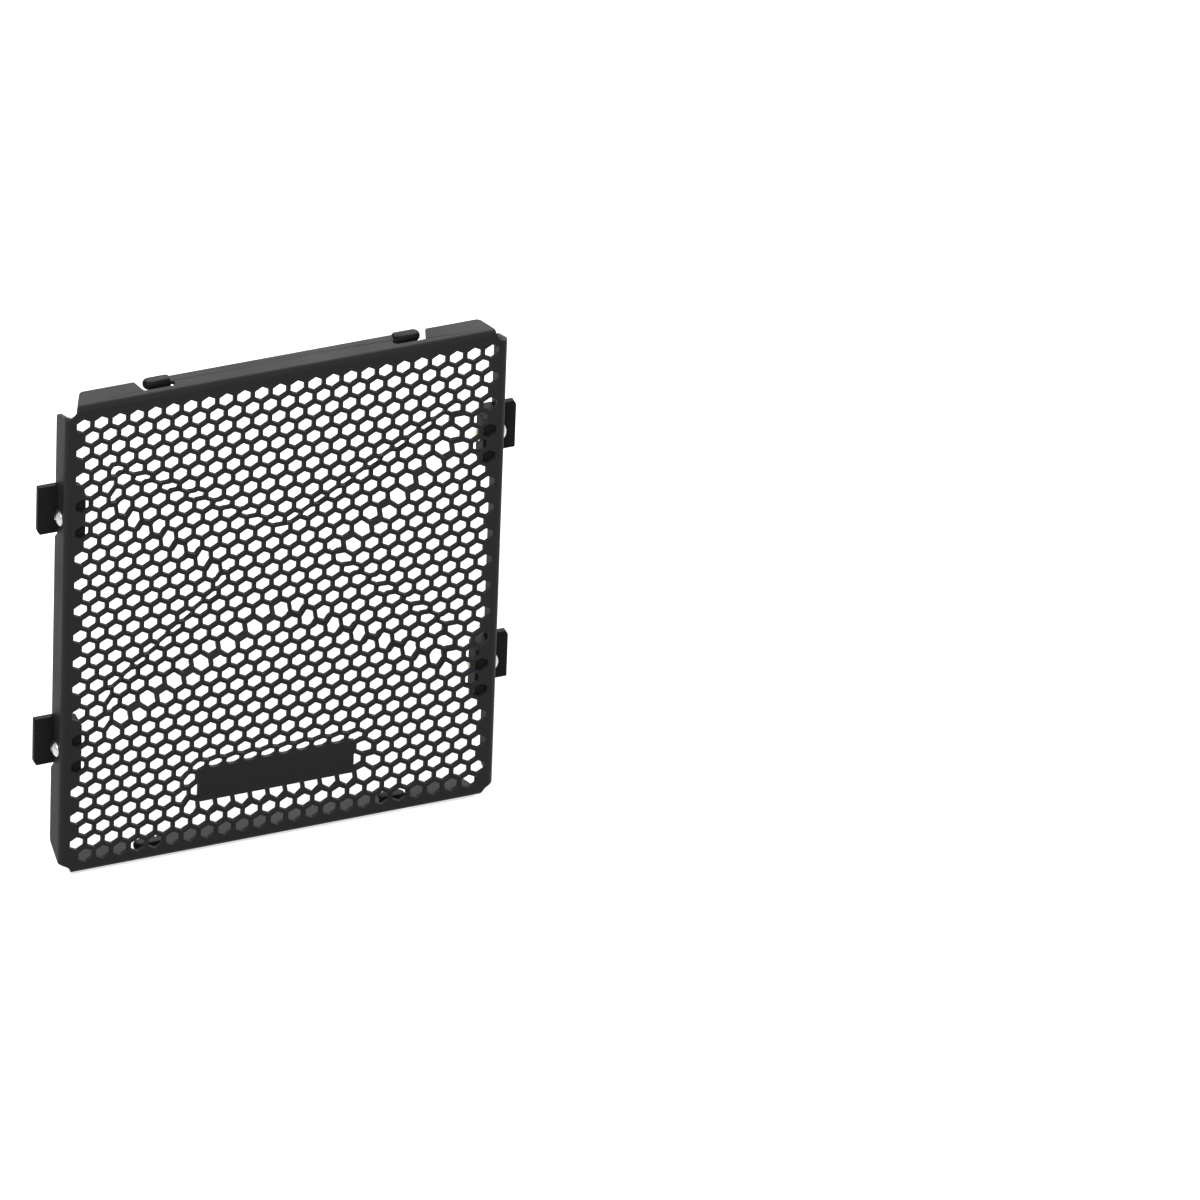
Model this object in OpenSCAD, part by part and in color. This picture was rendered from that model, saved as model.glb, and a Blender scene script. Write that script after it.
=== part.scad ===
// Guard for the front of a motorcycle radiator. One sheet is punched with hexagonal holes,
// pressed and folded into a shallow tray. Four riveted brackets carry it, and four rubber
// caps on sprung fingers of the flanges keep it off the radiator tanks.
// The sheet is drawn with its front face at y = 0 and its depth along +Y.

/* [Panel] */
// Width over the side flanges
panel_w = 214.3; // [190:0.1:240]
// Height over the top and bottom flanges
panel_h = 266; // [250:1:300]
// Thickness of the sheet
sheet_t = 2; // [1.5:0.1:2.5]
// Outer radius of the four folds
bend_r = 3.5; // [3.2:0.1:4.5]
// Radius of the round relief at each corner
corner_r = 6; // [5:0.1:8]
// Depth of the side flanges from the front face
side_depth = 15; // [14:0.1:20]
// Depth of the top flange from the front face
top_depth = 13.4; // [13:0.1:18]
// Depth of the bottom flange from the front face
bottom_depth = 16.5; // [14:0.1:20]
// Angle by which the flange ends lean inward
end_lean = 23.5; // [10:0.5:30]
// Rounding of the flange ends at the rear edge
end_round = 3; // [1:0.1:4]

/* [Perforation] */
// Distance between neighbouring holes
hole_pitch = 8.6; // [8:0.1:12]
// Width of a hole across its flats
hole_flats = 6.7; // [5:0.1:7.2]
// Plain border at the sides, at least
side_border = 8; // [8:0.1:12]
// Plain border at the top and bottom, at least
end_border = 10; // [9:0.1:14]

/* [Pressing] */
// Depth of the pressed cross and of the label pocket
press_depth = 4; // [2:0.1:5]
// Width of the sloping wall seen from the front
wall_run = 5.5; // [4:0.1:10]
// Distance from the top of the panel down to the middle of the cross
cross_drop = 112; // [105:1:130]
// Reach of the arms to each side
arm_reach = 83; // [60:0.5:85]
// Height of an arm's outer corner above the middle
arm_high = 74; // [70:0.5:84]
// Height of an arm's inner corner above the middle
arm_low = 52; // [45:0.5:60]
// Half height of the cross at the middle
cross_waist = 22.5; // [15:0.5:30]
// Half width of the flat middle, which blunts the side lands
cross_hub = 29.7; // [27:0.5:34]
// Width of the label pocket at half depth
pocket_w = 90.4; // [70:0.1:110]
// Height of the label pocket at half depth
pocket_h = 25.7; // [22:0.1:30]
// Height of the middle of the label pocket
pocket_z = 37; // [34:0.1:42]
// Cut of the pocket corners
pocket_cut = 6; // [2:0.1:9]
// Height of the middle of the plain field for a label
label_z = 35.2; // [33:0.1:40]
// Width of the plain field for a label
label_w = 76.8; // [50:0.1:80]
// Height of the plain field for a label
label_h = 18.2; // [10:0.1:20]

/* [Brackets] */
// Height of a bracket
bracket_h = 26.4; // [20:0.1:34]
// Width of the block inside the flange
block_w = 8.5; // [6:0.1:9]
// Cut on the inner rear edge of the block
block_cut = 3.5; // [1:0.1:5]
// Reach of the ear past the side flange
ear_reach = 9.3; // [6:0.1:16]
// Thickness of the ear
ear_t = 2.8; // [2:0.1:4]
// Height of the cut on one ear corner
ear_cut = 2.2; // [1:0.1:6]
// Width of the cut on one ear corner
ear_cut_w = 1.2; // [0.5:0.1:3]
// Clearance between the block and the inside of the fold
fold_gap = 0.3; // [0:0.1:0.5]
// Distance from the top of the panel to the middle of the upper brackets
upper_drop = 62.8; // [45:0.1:80]
// Height of the middle of the lower brackets
lower_rise = 71.3; // [45:0.1:90]
// Clearance between a bracket and the notch in the flange
notch_gap = 0.3; // [0.1:0.1:1]
// Length of the slope beside the notch
notch_cut = 4; // [0.5:0.1:6]

/* [Rivets] */
// Diameter of the rivet shank
rivet_d = 4.8; // [3:0.1:5]
// Diameter of the rivet head
rivet_head_d = 8; // [7:0.1:9]
// Height of the rivet head
rivet_head_h = 2.6; // [1:0.1:3]
// Distance of the rivets behind the front face
rivet_depth = 7.5; // [7:0.1:8.5]
// Offset of the rivet from the middle of the bracket
rivet_offset = 1.6; // [0:0.1:4]
// Height of the set end past the block
rivet_tail = 0.8; // [0.3:0.1:1.5]
// Diameter of the set end
rivet_tail_d = 6.4; // [5.6:0.1:7.5]
// Clearance around the shank in diameter
rivet_gap = 0.1; // [0.1:0.05:0.4]
// Diameter of the pulled stem inside the rivet
stem_d = 2.2; // [1.5:0.1:2.6]
// Depth of the broken stem below the top of the head
stem_sink = 0.8; // [0.2:0.1:1]
// Diameter of the stem's own head, which closes the set end
stem_head_d = 4.8; // [4:0.1:5.4]
// Height of the stem's own head
stem_head_h = 1; // [0.4:0.1:2]

/* [Caps] */
// Distance from the middle of the panel to the root of a finger
finger_root = 54.5; // [40:0.5:60]
// Length of a finger
finger_l = 11.5; // [9:0.5:20]
// Distance of the rear edge of the fingers behind the front face
finger_depth = 13.4; // [13:0.1:13.4]
// Width of a finger along the depth
finger_w = 4.3; // [3:0.1:4.5]
// Width of the slot in front of a finger
slot_w = 3.5; // [2:0.1:3.6]
// Gap between the tip of a finger and the flange beyond it
tip_gap = 2.2; // [1.5:0.1:5]
// Widening of that gap toward the rear edge
tip_flare = 2.4; // [0:0.1:4]
// Extra width of the round end of the slot
slot_relief = 0.3; // [0:0.1:0.6]
// Wall of the rubber cap
cap_wall = 1; // [0.6:0.1:1.2]
// Clearance between the cap and its finger
cap_gap = 0.1; // [0.05:0.05:0.3]
// Clearance between the mouth of the cap and the flange behind the finger
cap_seat = 0.4; // [0.1:0.1:1]

/* [Hidden] */
half_w = panel_w / 2;
depth = max(side_depth, top_depth, bottom_depth);
wall_tilt = atan(wall_run / press_depth);
row_step = hole_pitch * sqrt(3) / 2;
columns = floor((panel_w - 2 * side_border) / hole_pitch) + 1;
rows = floor((panel_h - 2 * end_border) / row_step) + 1;
finger_tip = finger_root + finger_l;
block_x = sheet_t + block_w;
bracket_mids = [lower_rise, panel_h - upper_drop];
far = panel_w + panel_h;
coat = [0.16, 0.16, 0.17];
$fn = 48;

// A polygon's outline with rounded corners. Each point is [x, y, radius].
function unit(v) = v / norm(v);
function spot(p) = [p.x, p.y];
function turn(a) = a > 180 ? a - 360 : a < -180 ? a + 360 : a;
function corner(a, p, b, r) =
    r <= 0 ? [p] :
    let (u = unit(a - p), v = unit(b - p), half = acos(u * v) / 2,
         c = p + unit(u + v) * r / sin(half),
         s = p + u * r / tan(half) - c, e = p + v * r / tan(half) - c,
         a0 = atan2(s.y, s.x), sweep = turn(atan2(e.y, e.x) - a0))
    [for (k = [0 : 8]) c + r * [cos(a0 + sweep * k / 8), sin(a0 + sweep * k / 8)]];
function rounded(pts) = [for (i = [0 : len(pts) - 1], n = [len(pts)])
    each corner(spot(pts[(i + n - 1) % n]), spot(pts[i]), spot(pts[(i + 1) % n]), pts[i][2])];

// The model stands on its lowest caps with the middle of its depth at y = 0.
module placed() translate([0, -depth / 2, cap_gap + cap_wall]) children();

// Space in front of a pressed form with sloping walls. pts is its outline at half depth,
// anticlockwise, and grow is 0 for the front of the sheet and the sheet's thickness for its back.
module pressed(pts, grow) {
    floor_y = press_depth + grow;
    intersection() {
        translate([-far, -1, -far]) cube([2 * far, floor_y + 1, 2 * far]);
        intersection_for (i = [0 : len(pts) - 1]) {
            a = pts[i];
            b = pts[(i + 1) % len(pts)];
            translate([a.x, press_depth / 2, a.y]) rotate([0, -atan2(b.y - a.y, b.x - a.x), 0])
                rotate([wall_tilt, 0, 0]) translate([-far, -far, -grow]) cube([2 * far, 2 * far, far]);
        }
    }
}

// One bar of the cross. Its mirror image is the other bar.
arm = [[arm_reach, arm_high], [0, cross_waist], [-arm_reach, -arm_low],
    [-arm_reach, -arm_high], [0, -cross_waist], [arm_reach, arm_low]];
// Flat middle of the cross, just high enough to meet the arms.
hub_z = cross_hub * (arm_low + cross_waist) / arm_reach - cross_waist;
hub = [[-cross_hub, -hub_z], [cross_hub, -hub_z], [cross_hub, hub_z], [-cross_hub, hub_z]];
pocket = [[-pocket_w / 2, -pocket_h / 2 + pocket_cut], [-pocket_w / 2 + pocket_cut, -pocket_h / 2],
    [pocket_w / 2 - pocket_cut, -pocket_h / 2], [pocket_w / 2, -pocket_h / 2 + pocket_cut],
    [pocket_w / 2, pocket_h / 2 - pocket_cut], [pocket_w / 2 - pocket_cut, pocket_h / 2],
    [-pocket_w / 2 + pocket_cut, pocket_h / 2], [-pocket_w / 2, pocket_h / 2 - pocket_cut]];

module pressings(grow) {
    translate([0, 0, panel_h - cross_drop]) {
        pressed(arm, grow);
        mirror([1, 0, 0]) pressed(arm, grow);
        pressed(hub, grow);
    }
    translate([0, 0, pocket_z]) pressed(pocket, grow);
}

// Hexagonal holes in staggered rows, none of them in the field of the label.
module holes() {
    difference() {
        for (j = [0 : rows - 1]) let (n = columns - (rows - 1 - j) % 2)
            for (i = [0 : n - 1])
                translate([(i - (n - 1) / 2) * hole_pitch, panel_h / 2 + (j - (rows - 1) / 2) * row_step])
                    rotate(90) circle(d = hole_flats / cos(30), $fn = 6);
        translate([-label_w / 2, label_z - label_h / 2]) square([label_w, label_h]);
    }
}

// Outline of a flange, drawn with the depth upward. The ends lean inward behind the fold.
module flange_outline(length, deep) {
    slip = tan(end_lean) * (deep - bend_r);
    wide = length / 2 - corner_r;
    polygon(rounded([[-wide, bend_r, 0], [wide, bend_r, 0],
        [wide - slip, deep, end_round], [-wide + slip, deep, end_round]]));
}

// Slot and gaps that free one finger of a top or bottom flange, whose rear edge is at deep.
module finger_cut(deep) {
    slot_y = finger_depth - finger_w - slot_w;
    slot_x = finger_root + slot_relief;
    side_x = finger_tip + tip_gap;
    translate([slot_x, slot_y + slot_w / 2]) circle(d = slot_w + slot_relief);
    difference() {
        union() {
            polygon(rounded([[slot_x, slot_y, 0], [side_x, slot_y, slot_w / 3],
                [side_x + tip_flare, deep, 0], [side_x + tip_flare, deep + 1, 0], [slot_x, deep + 1, 0]]));
            translate([finger_root - cap_seat, finger_depth]) square([finger_l, deep - finger_depth + 1]);
        }
        finger(0);
    }
}

// Outline of a finger, grown all round for the hollow and the outside of its cap.
module finger(grow) {
    round_r = finger_w / 2.1 + grow;
    front = finger_depth - finger_w - grow;
    polygon(rounded([[finger_root, front, 0], [finger_tip + grow, front, round_r],
        [finger_tip + grow, finger_depth + grow, round_r], [finger_root, finger_depth + grow, 0]]));
}

module end_flange(deep) linear_extrude(sheet_t) difference() {
    flange_outline(panel_w, deep);
    finger_cut(deep);
    mirror([1, 0]) finger_cut(deep);
}

// Left flange, stepped back where the ears pass over its rear edge.
module side_flange() {
    step_h = bracket_h / 2 + notch_gap;
    step_d = ear_t + notch_gap;
    rotate([90, 0, 90]) linear_extrude(sheet_t) mirror([1, -1]) difference() {
        flange_outline(panel_h, side_depth);
        for (m = bracket_mids) translate([m - panel_h / 2, side_depth]) polygon([[step_h, 1], [step_h, -step_d],
            [-step_h, -step_d], [-step_h - notch_cut, 0], [-step_h - notch_cut, 1]]);
    }
}

// Quarter tube along +Z, with its outer corner at the origin.
module fold(length) {
    inner_r = bend_r - sheet_t;
    intersection() {
        translate([bend_r, bend_r, 0]) difference() {
            cylinder(h = length, r = bend_r);
            translate([0, 0, -1]) cylinder(h = length + 2, r = inner_r);
        }
        cube([bend_r, bend_r, length]);
    }
}

// Sets a piece on the outer face of a side flange at height m, with +X toward the middle
// of the panel. The right side is the left side turned by half a turn.
module on_side(side, m) translate([side * half_w, 0, m]) rotate([0, side > 0 ? 180 : 0, 0]) children();
module rivet_axis() translate([0, rivet_depth, -rivet_offset]) rotate([0, 90, 0]) children();

// Folded and pressed sheet without its perforation.
module tray() {
    flat_w = panel_w - 2 * bend_r;
    flat_h = panel_h - 2 * bend_r;
    difference() {
        union() {
            translate([-flat_w / 2, 0, bend_r]) cube([flat_w, sheet_t, flat_h]);
            for (s = [0, 1]) mirror([s, 0, 0]) {
                translate([-half_w, 0, bend_r]) fold(flat_h);
                translate([-half_w, 0, panel_h / 2]) side_flange();
            }
            translate([-flat_w / 2, 0, 0]) rotate([90, 0, 90]) fold(flat_w);
            translate([-flat_w / 2, 0, panel_h]) mirror([0, 0, 1]) rotate([90, 0, 90]) fold(flat_w);
            end_flange(bottom_depth);
            translate([0, 0, panel_h - sheet_t]) end_flange(top_depth);
            intersection() {
                pressings(sheet_t);
                translate([-far, sheet_t / 2, -far]) cube([2 * far, depth, 2 * far]);
            }
        }
        pressings(0);
        for (x = [-half_w, half_w], z = [0, panel_h])
            translate([x, -1, z]) rotate([-90, 0, 0]) cylinder(h = depth + 2, r = corner_r);
        for (s = [-1, 1], m = bracket_mids) on_side(s, m) rivet_axis()
            translate([0, 0, -1]) cylinder(h = sheet_t + 2, d = rivet_d + rivet_gap);
    }
}

module guard_panel() color(coat) placed() intersection() {
    tray();
    translate([0, depth + 1, 0]) rotate([90, 0, 0]) linear_extrude(depth + 2) difference() {
        translate([-half_w - 1, -1]) square([panel_w + 2, panel_h + 2]);
        holes();
    }
}

// Block inside the flange, with an ear that reaches outward behind the flange.
module bracket(side, m) color([0.1, 0.1, 0.11]) placed() on_side(side, m) difference() {
    translate([0, 0, -bracket_h / 2]) linear_extrude(bracket_h) polygon([
        [bend_r + fold_gap, sheet_t], [block_x, sheet_t], [block_x, side_depth - block_cut],
        [block_x - block_cut, side_depth], [-ear_reach, side_depth], [-ear_reach, side_depth - ear_t],
        [sheet_t, side_depth - ear_t], [sheet_t, bend_r + fold_gap]]);
    rivet_axis() cylinder(h = block_x + 1, d = rivet_d + rivet_gap);
    translate([-ear_reach, side_depth + 1, -bracket_h / 2]) rotate([90, 0, 0])
        linear_extrude(ear_t + 2) polygon([[-1, -1], [ear_cut_w, -1], [ear_cut_w, 0], [0, ear_cut], [-1, ear_cut]]);
}

// Body of a blind rivet. Its head lies on the flange and its set end on the block.
module rivet(side, m) color([0.8, 0.8, 0.8]) placed() on_side(side, m) rivet_axis() {
    rim = rivet_head_h / 4;
    dome = rivet_head_h - rim;
    dome_r = (pow(rivet_head_d / 2, 2) + pow(dome, 2)) / (2 * dome);
    rotate_extrude() difference() {
        union() {
            square([rivet_d / 2, block_x + rivet_tail]);
            translate([0, -rim]) square([rivet_head_d / 2, rim]);
            intersection() {
                translate([0, dome_r - rivet_head_h]) circle(r = dome_r, $fn = 96);
                translate([0, -rivet_head_h]) square([rivet_head_d / 2, dome + rim / 2]);
            }
            translate([0, block_x]) square([rivet_tail_d / 2, rivet_tail]);
        }
        translate([-1, -rivet_head_h - 1]) square([1 + stem_d / 2 + rivet_gap / 2, block_x + depth]);
    }
}

// Stem left in a blind rivet. It is broken off inside the head, and its own head closes the set end.
module stem(side, m) color([0.72, 0.6, 0.42]) placed() on_side(side, m) rivet_axis() {
    tail = block_x + rivet_tail;
    translate([0, 0, stem_sink - rivet_head_h]) cylinder(h = rivet_head_h - stem_sink + tail, d = stem_d);
    rotate_extrude() translate([0, tail]) intersection() {
        scale_r = (pow(stem_head_d / 2, 2) + pow(stem_head_h, 2)) / (2 * stem_head_h);
        translate([0, stem_head_h - scale_r]) circle(r = scale_r, $fn = 96);
        square([stem_head_d / 2, stem_head_h]);
    }
}

// Rubber cap pushed over a finger. z is the height of the underside of its flange.
module cap(side, z) color([0.12, 0.12, 0.12]) placed() translate([0, 0, z])
    mirror([side > 0 ? 0 : 1, 0, 0]) difference() {
        translate([0, 0, -cap_gap - cap_wall]) linear_extrude(sheet_t + 2 * (cap_gap + cap_wall))
            finger(cap_gap + cap_wall);
        translate([-1, 0, -cap_gap]) linear_extrude(sheet_t + 2 * cap_gap) {
            translate([1, 0]) finger(cap_gap);
            translate([finger_root, finger_depth - finger_w - cap_gap]) square([2, finger_w + 2 * cap_gap]);
        }
    }

guard_panel();
bracket(-1, bracket_mids[1]);  // bracket_upper_left
bracket(1, bracket_mids[1]);  // bracket_upper_right
bracket(-1, bracket_mids[0]);  // bracket_lower_left
bracket(1, bracket_mids[0]);  // bracket_lower_right
rivet(-1, bracket_mids[1]);  // rivet_upper_left
rivet(1, bracket_mids[1]);  // rivet_upper_right
rivet(-1, bracket_mids[0]);  // rivet_lower_left
rivet(1, bracket_mids[0]);  // rivet_lower_right
stem(-1, bracket_mids[1]);  // stem_upper_left
stem(1, bracket_mids[1]);  // stem_upper_right
stem(-1, bracket_mids[0]);  // stem_lower_left
stem(1, bracket_mids[0]);  // stem_lower_right
cap(-1, panel_h - sheet_t);  // cap_top_left
cap(1, panel_h - sheet_t);  // cap_top_right
cap(-1, 0);  // cap_bottom_left
cap(1, 0);  // cap_bottom_right
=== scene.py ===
"""Radiator guard for a motorcycle: a perforated, pressed and folded black sheet with
riveted side brackets and rubber caps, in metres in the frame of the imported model."""
from math import radians

import bmesh
import bpy
from mathutils import Matrix, Vector


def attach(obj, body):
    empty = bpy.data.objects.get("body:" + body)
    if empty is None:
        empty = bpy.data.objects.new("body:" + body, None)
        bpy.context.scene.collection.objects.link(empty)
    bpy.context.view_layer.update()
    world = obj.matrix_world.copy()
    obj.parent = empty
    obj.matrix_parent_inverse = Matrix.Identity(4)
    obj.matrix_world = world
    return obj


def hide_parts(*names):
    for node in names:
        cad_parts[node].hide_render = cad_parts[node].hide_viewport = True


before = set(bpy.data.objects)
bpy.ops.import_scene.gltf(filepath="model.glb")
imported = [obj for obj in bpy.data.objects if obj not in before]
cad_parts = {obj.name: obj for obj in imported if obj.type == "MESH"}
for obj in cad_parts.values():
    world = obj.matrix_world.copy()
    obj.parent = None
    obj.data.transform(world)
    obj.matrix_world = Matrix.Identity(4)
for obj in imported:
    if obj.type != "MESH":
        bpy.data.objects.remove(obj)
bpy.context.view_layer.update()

SIDES = ("left", "right")
LEVELS = ("upper", "lower")
RIMS = ("top", "bottom")


# ---------------------------------------------------------------- camera

# The place, the right and down directions and the lens were solved from the grid of holes.
CAMERA_AT = (-2.1226, -5.8200, 4.6644)
CAMERA_RIGHT = Vector((0.938857, -0.342775, 0.032448))
CAMERA_DOWN = Vector((-0.177839, -0.563470, -0.806768))
LENS_MM = 497.85
SENSOR_MM = 36.0
VIEW_END = 60.0


def add_camera():
    """Stands where the photograph was taken from, with its long lens."""
    data = bpy.data.cameras.new("camera")
    data.sensor_width = SENSOR_MM
    data.lens = LENS_MM
    data.clip_end = VIEW_END
    camera = bpy.data.objects.new("camera", data)
    right, up = CAMERA_RIGHT.normalized(), -CAMERA_DOWN.normalized()
    back = right.cross(up)
    turn = Matrix((right, up, back)).transposed().to_4x4()
    camera.matrix_world = Matrix.Translation(CAMERA_AT) @ turn
    bpy.context.scene.collection.objects.link(camera)
    bpy.context.scene.camera = camera


# ---------------------------------------------------------------- materials

RELIEF_DEPTH = 0.0002
DRIFT_SCALE = 22.0


def new_group(name, inputs, outputs):
    """A shader node group with inputs of (name, type, default) and outputs of (name, type)."""
    group = bpy.data.node_groups.new(name, "ShaderNodeTree")
    for label, kind, default in inputs:
        socket = group.interface.new_socket(label, in_out="INPUT", socket_type=kind)
        socket.default_value = default
    for label, kind in outputs:
        group.interface.new_socket(label, in_out="OUTPUT", socket_type=kind)
    return group, group.nodes.new("NodeGroupInput"), group.nodes.new("NodeGroupOutput")


def wire(tree, source, target):
    tree.links.new(source, target)


def make_coat_group():
    """Fine orange peel and slow changes of gloss and tone, as on powder coat or rubber."""
    group, inner, outer = new_group(
        "coat grain",
        [("Grain Scale", "NodeSocketFloat", 900.0),
         ("Gloss Low", "NodeSocketFloat", 0.35),
         ("Gloss High", "NodeSocketFloat", 0.5),
         ("Dark", "NodeSocketColor", (0.02, 0.02, 0.02, 1)),
         ("Light", "NodeSocketColor", (0.03, 0.03, 0.03, 1))],
        [("Color", "NodeSocketColor"),
         ("Roughness", "NodeSocketFloat"),
         ("Height", "NodeSocketFloat")])
    nodes = group.nodes
    place = nodes.new("ShaderNodeTexCoord")
    grain = nodes.new("ShaderNodeTexNoise")
    grain.inputs["Detail"].default_value = 3.0
    wire(group, place.outputs["Object"], grain.inputs["Vector"])
    wire(group, inner.outputs["Grain Scale"], grain.inputs["Scale"])
    drift = nodes.new("ShaderNodeTexNoise")
    drift.inputs["Scale"].default_value = DRIFT_SCALE
    drift.inputs["Detail"].default_value = 4.0
    wire(group, place.outputs["Object"], drift.inputs["Vector"])
    shade = nodes.new("ShaderNodeMix")
    shade.data_type = "RGBA"
    wire(group, drift.outputs["Fac"], shade.inputs["Factor"])
    wire(group, inner.outputs["Dark"], shade.inputs["A"])
    wire(group, inner.outputs["Light"], shade.inputs["B"])
    gloss = nodes.new("ShaderNodeMapRange")
    gloss.inputs["From Min"].default_value = 0.3
    gloss.inputs["From Max"].default_value = 0.7
    wire(group, drift.outputs["Fac"], gloss.inputs["Value"])
    wire(group, inner.outputs["Gloss Low"], gloss.inputs["To Min"])
    wire(group, inner.outputs["Gloss High"], gloss.inputs["To Max"])
    wire(group, shade.outputs["Result"], outer.inputs["Color"])
    wire(group, gloss.outputs["Result"], outer.inputs["Roughness"])
    wire(group, grain.outputs["Fac"], outer.inputs["Height"])
    return group


def coated(name, grain, values, bump, **plain):
    """A material whose colour, gloss and fine relief come from the grain group."""
    material = bpy.data.materials.new(name)
    material.use_nodes = True
    tree = material.node_tree
    shader = tree.nodes["Principled BSDF"]
    for socket, value in plain.items():
        shader.inputs[socket.replace("_", " ")].default_value = value
    skin = tree.nodes.new("ShaderNodeGroup")
    skin.node_tree = grain
    for socket, value in values.items():
        skin.inputs[socket].default_value = value
    relief = tree.nodes.new("ShaderNodeBump")
    relief.inputs["Strength"].default_value = bump
    relief.inputs["Distance"].default_value = RELIEF_DEPTH
    wire(tree, skin.outputs["Color"], shader.inputs["Base Color"])
    wire(tree, skin.outputs["Roughness"], shader.inputs["Roughness"])
    wire(tree, skin.outputs["Height"], relief.inputs["Height"])
    wire(tree, relief.outputs["Normal"], shader.inputs["Normal"])
    return material


def grey(level):
    return (level, level, level * 1.03, 1.0)


def make_materials():
    grain = make_coat_group()
    return {
        "black_coat": coated("black powder coat", grain, {
            "Grain Scale": 1500.0, "Gloss Low": 0.5, "Gloss High": 0.58,
            "Dark": grey(0.010), "Light": grey(0.013)},
            bump=0.2, Specular_IOR_Level=0.08),
        "bracket_black": coated("bracket black", grain, {
            "Grain Scale": 2500.0, "Gloss Low": 0.5, "Gloss High": 0.6,
            "Dark": grey(0.005), "Light": grey(0.007)},
            bump=0.15, Specular_IOR_Level=0.05),
        "rivet_metal": coated("bright rivet", grain, {
            "Grain Scale": 3000.0, "Gloss Low": 0.26, "Gloss High": 0.32,
            "Dark": (0.45, 0.45, 0.46, 1), "Light": (0.55, 0.55, 0.55, 1)},
            bump=0.0, Metallic=1.0),
        "stem_metal": coated("brass stem", grain, {
            "Grain Scale": 3000.0, "Gloss Low": 0.35, "Gloss High": 0.45,
            "Dark": (0.5, 0.4, 0.26, 1), "Light": (0.62, 0.52, 0.36, 1)},
            bump=0.1, Metallic=1.0),
        "cap_rubber": coated("cap rubber", grain, {
            "Grain Scale": 4000.0, "Gloss Low": 0.45, "Gloss High": 0.55,
            "Dark": grey(0.003), "Light": grey(0.005)},
            bump=0.25, Specular_IOR_Level=0.06),
    }


# ---------------------------------------------------------------- pieces

# Widths and segments of the broken edges. The caps have their own rounding.
PANEL_EDGE, BRACKET_EDGE = (0.00022, 2), (0.0004, 3)
RIVET_EDGE, STEM_EDGE = (0.0001, 2), (0.00015, 2)
SHARP_FROM_DEG = 35
CAP_ROUND, CAP_ROUND_SEGMENTS = 0.0018, 5
CAP_SMOOTH_DEG = 50

# The label pocket at half depth, the run of its pressed walls and its depth, as in the CAD.
POCKET_Z, POCKET_HALF_W, POCKET_HALF_H, POCKET_CUT = 0.0381, 0.0452, 0.01285, 0.006
WALL_RUN, PRESSED = 0.0055, 0.004
# How much the soft foot of an upper and of a lower wall lifts the pocket's floor, and how
# far in from the rim it reaches.
UPPER_FOOT, LOWER_FOOT = (0.0009, 0.0125), (0.0005, 0.0085)
# Half sizes of the flat floor, and of the region that the feet may move.
FLOOR_HALF_W, FLOOR_HALF_H = 0.044, 0.0118
REGION_HALF_W, REGION_HALF_H = 0.049, 0.0165
# Where the floor is cut into strips: heights from its middle, and distances to each side.
STRIP_HEIGHTS_MM = (-9.5, -8, -6.5, 3, 4, 5, 6, 7, 8, 9, 10)
STRIP_SIDES_MM = (35.5, 36.7, 37.9, 39.1, 40.3, 41.5)


def deselect_all():
    bpy.ops.object.select_all(action="DESELECT")


def merged_copy(node, name):
    """A copy of a CAD node with its loose triangles joined."""
    piece = bpy.data.objects.new(name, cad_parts[node].data.copy())
    piece.data.name = name
    piece.data.materials.clear()
    bpy.context.scene.collection.objects.link(piece)
    shape = bmesh.new()
    shape.from_mesh(piece.data)
    bmesh.ops.remove_doubles(shape, verts=shape.verts, dist=2e-6)
    bmesh.ops.dissolve_degenerate(shape, edges=shape.edges, dist=1e-6)
    shape.to_mesh(piece.data)
    shape.free()
    return piece


def finish_piece(piece, node, material, edge=None, smooth_deg=30):
    """Breaks the sharp edges, smooths the curves and hands the piece to the frame."""
    deselect_all()
    piece.select_set(True)
    bpy.context.view_layer.objects.active = piece
    if edge:
        broken = piece.modifiers.new("edge", "BEVEL")
        broken.width, broken.segments = edge
        broken.limit_method = "ANGLE"
        broken.angle_limit = radians(SHARP_FROM_DEG)
        broken.use_clamp_overlap = False
        broken.harden_normals = False
        bpy.ops.object.modifier_apply(modifier="edge")
    bpy.ops.object.shade_smooth_by_angle(angle=radians(smooth_deg))
    even = piece.modifiers.new("even", "WEIGHTED_NORMAL")
    even.keep_sharp = True
    even.weight = 90
    bpy.ops.object.modifier_apply(modifier="even")
    piece.data.materials.append(material)
    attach(piece, "root")
    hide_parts(node)


def wall_depth(inside, lift, reach):
    """Depth of the sheet inside the rim of a wall whose foot lifts the floor by a lift."""
    if inside <= 0:
        return 0.0
    if inside < WALL_RUN:
        return (PRESSED - lift) * inside / WALL_RUN
    if inside < reach:
        return PRESSED - lift * ((reach - inside) / (reach - WALL_RUN)) ** 2
    return PRESSED


def foot_rise(x, z):
    """How far the soft feet of the pocket's walls bring the sheet forward at a place."""
    slant = 0.5 ** 0.5
    corner = (POCKET_HALF_W + POCKET_HALF_H - POCKET_CUT) * slant
    across, up = abs(x), z - POCKET_Z
    walls = [(POCKET_HALF_W - across, UPPER_FOOT),
             (POCKET_HALF_H - up, UPPER_FOOT),
             (POCKET_HALF_H + up, LOWER_FOOT),
             (corner - (across + abs(up)) * slant, UPPER_FOOT if up > 0 else LOWER_FOOT)]
    hard = min(wall_depth(inside + WALL_RUN / 2, 0, 1) for inside, _ in walls)
    soft = min(wall_depth(inside + WALL_RUN / 2, *foot) for inside, foot in walls)
    return hard - soft


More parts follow.
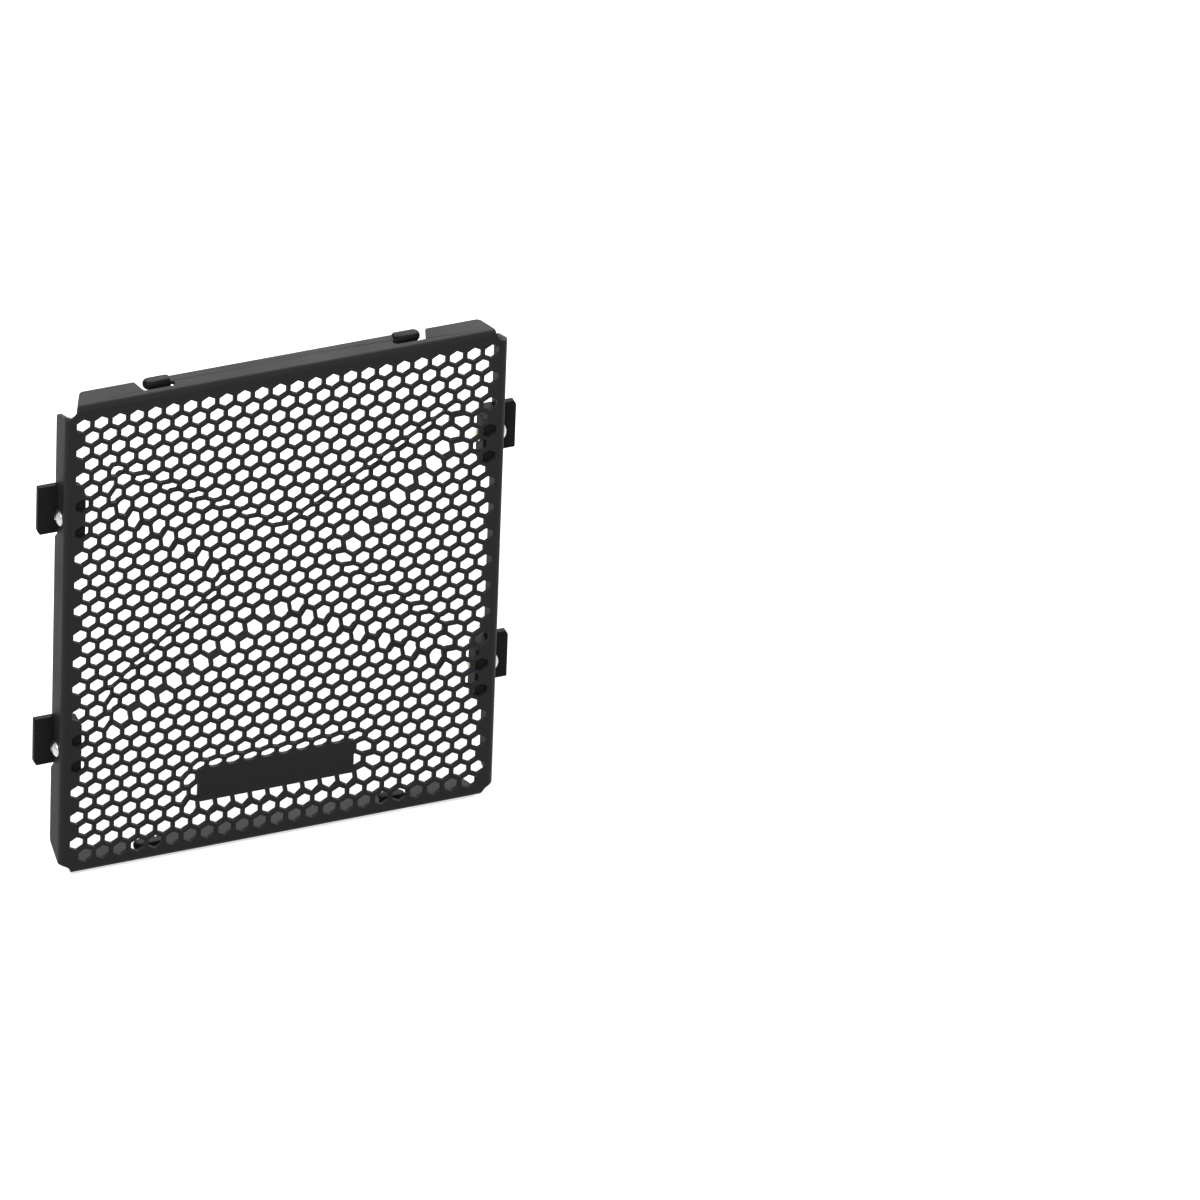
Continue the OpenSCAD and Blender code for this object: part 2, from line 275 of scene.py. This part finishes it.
def soften_pocket(panel):
    """Cuts the floor of the label pocket into strips and curves it up into its walls."""
    shape = bmesh.new()
    shape.from_mesh(panel.data)

    def on_floor(face):
        middle = face.calc_center_median()
        inside = abs(middle.x) < FLOOR_HALF_W and abs(middle.z - POCKET_Z) < FLOOR_HALF_H
        return inside and abs(face.normal.y) > 0.9

    faces = [f for f in shape.faces if on_floor(f)]
    cuts = [((0, 0, POCKET_Z + up / 1000), (0, 0, 1)) for up in STRIP_HEIGHTS_MM]
    cuts += [((side * out / 1000, 0, 0), (1, 0, 0)) for side in (-1, 1) for out in STRIP_SIDES_MM]
    for place, way in cuts:
        near = {v for f in faces for v in f.verts} | {e for f in faces for e in f.edges} | set(faces)
        result = bmesh.ops.bisect_plane(shape, geom=list(near), dist=1e-7,
                                        plane_co=place, plane_no=way)
        faces = [g for g in result["geom"] if isinstance(g, bmesh.types.BMFace)]
    bmesh.ops.triangulate(shape, faces=faces)
    for v in shape.verts:
        if abs(v.co.x) < REGION_HALF_W and abs(v.co.z - POCKET_Z) < REGION_HALF_H:
            v.co.y -= foot_rise(v.co.x, v.co.z)
    shape.normal_update()
    shape.to_mesh(panel.data)
    shape.free()
    return panel


def round_cap(cap):
    """Rounds the outer long edges of a cap and its blind end, but not its mouth."""
    shape = bmesh.new()
    shape.from_mesh(cap.data)
    heights = [v.co.z for v in shape.verts]
    levels = (min(heights), max(heights))
    mouth = min(abs(v.co.x) for v in shape.verts)

    def near(one, other):
        return abs(one - other) < 1e-5

    def outer(edge):
        first, second = (v.co for v in edge.verts)
        outside = any(near(first.z, z) for z in levels) and any(near(second.z, z) for z in levels)
        flat = near(first.z, second.z)
        at_mouth = near(abs(first.x), mouth) and near(abs(second.x), mouth)
        return (outside and flat and not at_mouth
                and len(edge.link_faces) == 2 and edge.calc_face_angle() > 0.5)

    bmesh.ops.bevel(shape, geom=[e for e in shape.edges if outer(e)], offset=CAP_ROUND,
                    segments=CAP_ROUND_SEGMENTS, profile=0.5, affect="EDGES",
                    clamp_overlap=False)
    shape.to_mesh(cap.data)
    shape.free()
    return cap


def add_pieces(materials):
    panel = soften_pocket(merged_copy("guard_panel", "perforated_panel"))
    finish_piece(panel, "guard_panel", materials["black_coat"], PANEL_EDGE)
    corner_pieces = (("bracket", "ear_bracket", "bracket_black", BRACKET_EDGE),
                     ("rivet", "blind_rivet", "rivet_metal", RIVET_EDGE),
                     ("stem", "rivet_stem", "stem_metal", STEM_EDGE))
    for level in LEVELS:
        for side in SIDES:
            for part, name, slot, edge in corner_pieces:
                node = f"{part}_{level}_{side}"
                piece = merged_copy(node, f"{name}_{level}_{side}")
                finish_piece(piece, node, materials[slot], edge)
    for rim in RIMS:
        for side in SIDES:
            node = f"cap_{rim}_{side}"
            cap = round_cap(merged_copy(node, f"rubber_cap_{rim}_{side}"))
            finish_piece(cap, node, materials["cap_rubber"],
                         smooth_deg=CAP_SMOOTH_DEG)


# ---------------------------------------------------------------- studio

FLOOR_SIZE, FLOOR_Z = 16.0, -0.0005
FLOOR_GREY, FLOOR_GLOW = 0.5, 0.7
WORLD_LEVEL = 0.15
# Each lamp's name, place, aim, size and power in watts.
LAMPS = (("back softbox", (0.9, 1.9, 1.5), (0, 0, 0.15), (1.4, 1.0), 75),
         ("front key", (-0.9, -1.4, 2.2), (0, 0, 0.13), (0.8, 0.8), 95))


def seen_by(tree):
    """1 for rays that show the backdrop: those of the camera, mirrors and glass."""
    rays = tree.nodes.new("ShaderNodeLightPath")
    total = rays.outputs["Is Camera Ray"]
    for ray in ("Is Glossy Ray", "Is Transmission Ray"):
        pick = tree.nodes.new("ShaderNodeMath")
        pick.operation = "MAXIMUM"
        wire(tree, total, pick.inputs[0])
        wire(tree, rays.outputs[ray], pick.inputs[1])
        total = pick.outputs["Value"]
    return total


def add_floor():
    """A pale floor that looks white and keeps a soft shadow of the guard."""
    deselect_all()
    bpy.ops.mesh.primitive_plane_add(size=FLOOR_SIZE, location=(0, 0, FLOOR_Z))
    floor = bpy.context.object
    floor.name = "floor"
    material = bpy.data.materials.new("pale floor")
    material.use_nodes = True
    tree = material.node_tree
    shader = tree.nodes["Principled BSDF"]
    shader.inputs["Base Color"].default_value = (FLOOR_GREY, FLOOR_GREY, FLOOR_GREY, 1)
    shader.inputs["Roughness"].default_value = 0.9
    shader.inputs["Specular IOR Level"].default_value = 0.1
    glow = tree.nodes.new("ShaderNodeMath")
    glow.operation = "MULTIPLY"
    glow.inputs[1].default_value = FLOOR_GLOW
    wire(tree, seen_by(tree), glow.inputs[0])
    shader.inputs["Emission Color"].default_value = (1, 1, 1, 1)
    wire(tree, glow.outputs["Value"], shader.inputs["Emission Strength"])
    floor.data.materials.append(material)


def add_lamp(name, place, aim, size, power):
    data = bpy.data.lights.new(name, "AREA")
    data.shape = "RECTANGLE"
    data.size, data.size_y = size
    data.energy = power
    lamp = bpy.data.objects.new(name, data)
    lamp.location = place
    lamp.rotation_euler = (Vector(aim) - Vector(place)).to_track_quat("-Z", "Y").to_euler()
    bpy.context.scene.collection.objects.link(lamp)


def set_world(level):
    """Even soft light, with plain white behind the object for the camera."""
    world = bpy.data.worlds.new("studio")
    bpy.context.scene.world = world
    world.use_nodes = True
    tree = world.node_tree
    backdrop = tree.nodes["Background"]
    backdrop.inputs["Color"].default_value = (1, 1, 1, 1)
    strength = tree.nodes.new("ShaderNodeMix")
    strength.inputs["A"].default_value = level
    strength.inputs["B"].default_value = 1.0
    wire(tree, seen_by(tree), strength.inputs["Factor"])
    wire(tree, strength.outputs["Result"], backdrop.inputs["Strength"])


def main():
    bpy.context.scene.view_settings.view_transform = "Standard"
    add_camera()
    add_pieces(make_materials())
    add_floor()
    set_world(WORLD_LEVEL)
    for lamp in LAMPS:
        add_lamp(*lamp)


main()
